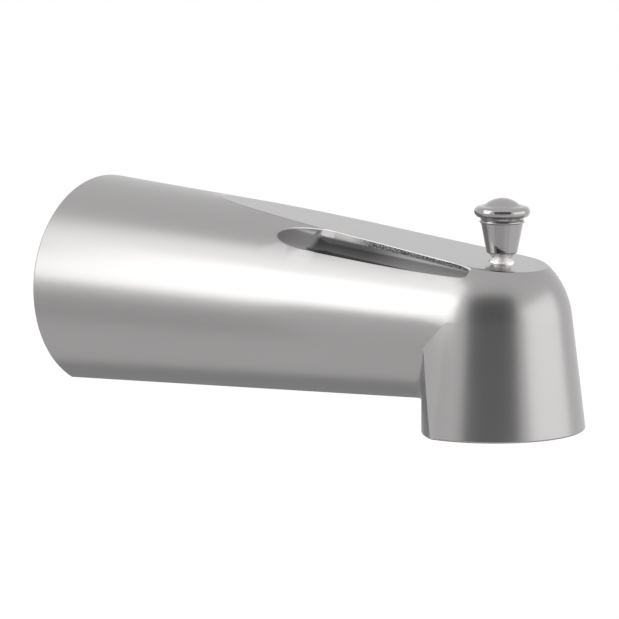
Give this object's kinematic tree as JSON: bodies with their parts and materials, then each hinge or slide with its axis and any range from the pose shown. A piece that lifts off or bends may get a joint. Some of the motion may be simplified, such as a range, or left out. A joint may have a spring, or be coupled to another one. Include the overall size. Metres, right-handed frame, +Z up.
{
  "type": "bath spout",
  "caption": "Tapered round bath spout with a faceted top, grooved shoulders, a flared downward outlet and a lift-up diverter knob; it screws onto a wall pipe.",
  "frame": {"origin": "centre of the wall end, on the inlet's axis, in the plane of the wall", "axes": "+X from the wall to the nose, +Z up, symmetric about the XZ plane"},
  "size_m": [0.1758, 0.066, 0.0662],
  "materials": {
    "satin_metal": "satin plated zinc casting",
    "polished_metal": "polished plating",
    "stainless_steel": "drawn and stamped",
    "brass": "machined",
    "white_moulding": "moulded acetal",
    "grey_moulding": "moulded acetal",
    "black_rubber": "moulded rubber"
  },
  "bodies": {
    "spout": {"spout_shell": "satin_metal", "guide_bush": "polished_metal", "stem_seal": "black_rubber", "waterway_tube": "white_moulding", "seat_frame": "white_moulding", "tube_seal": "black_rubber", "seat_clip": "stainless_steel", "inlet_bush": "brass", "inlet_seal": "black_rubber"},
    "diverter": {"diverter_knob": "polished_metal", "diverter_stem": "stainless_steel", "diverter_gate": "grey_moulding", "gate_washer": "black_rubber", "gate_clip": "stainless_steel"}
  },
  "joints": [
    {"name": "diverter_lift", "type": "slide", "parent": "spout", "child": "diverter", "axis": [0, 0, 1], "range_m": [0, 0.016]}
  ]
}
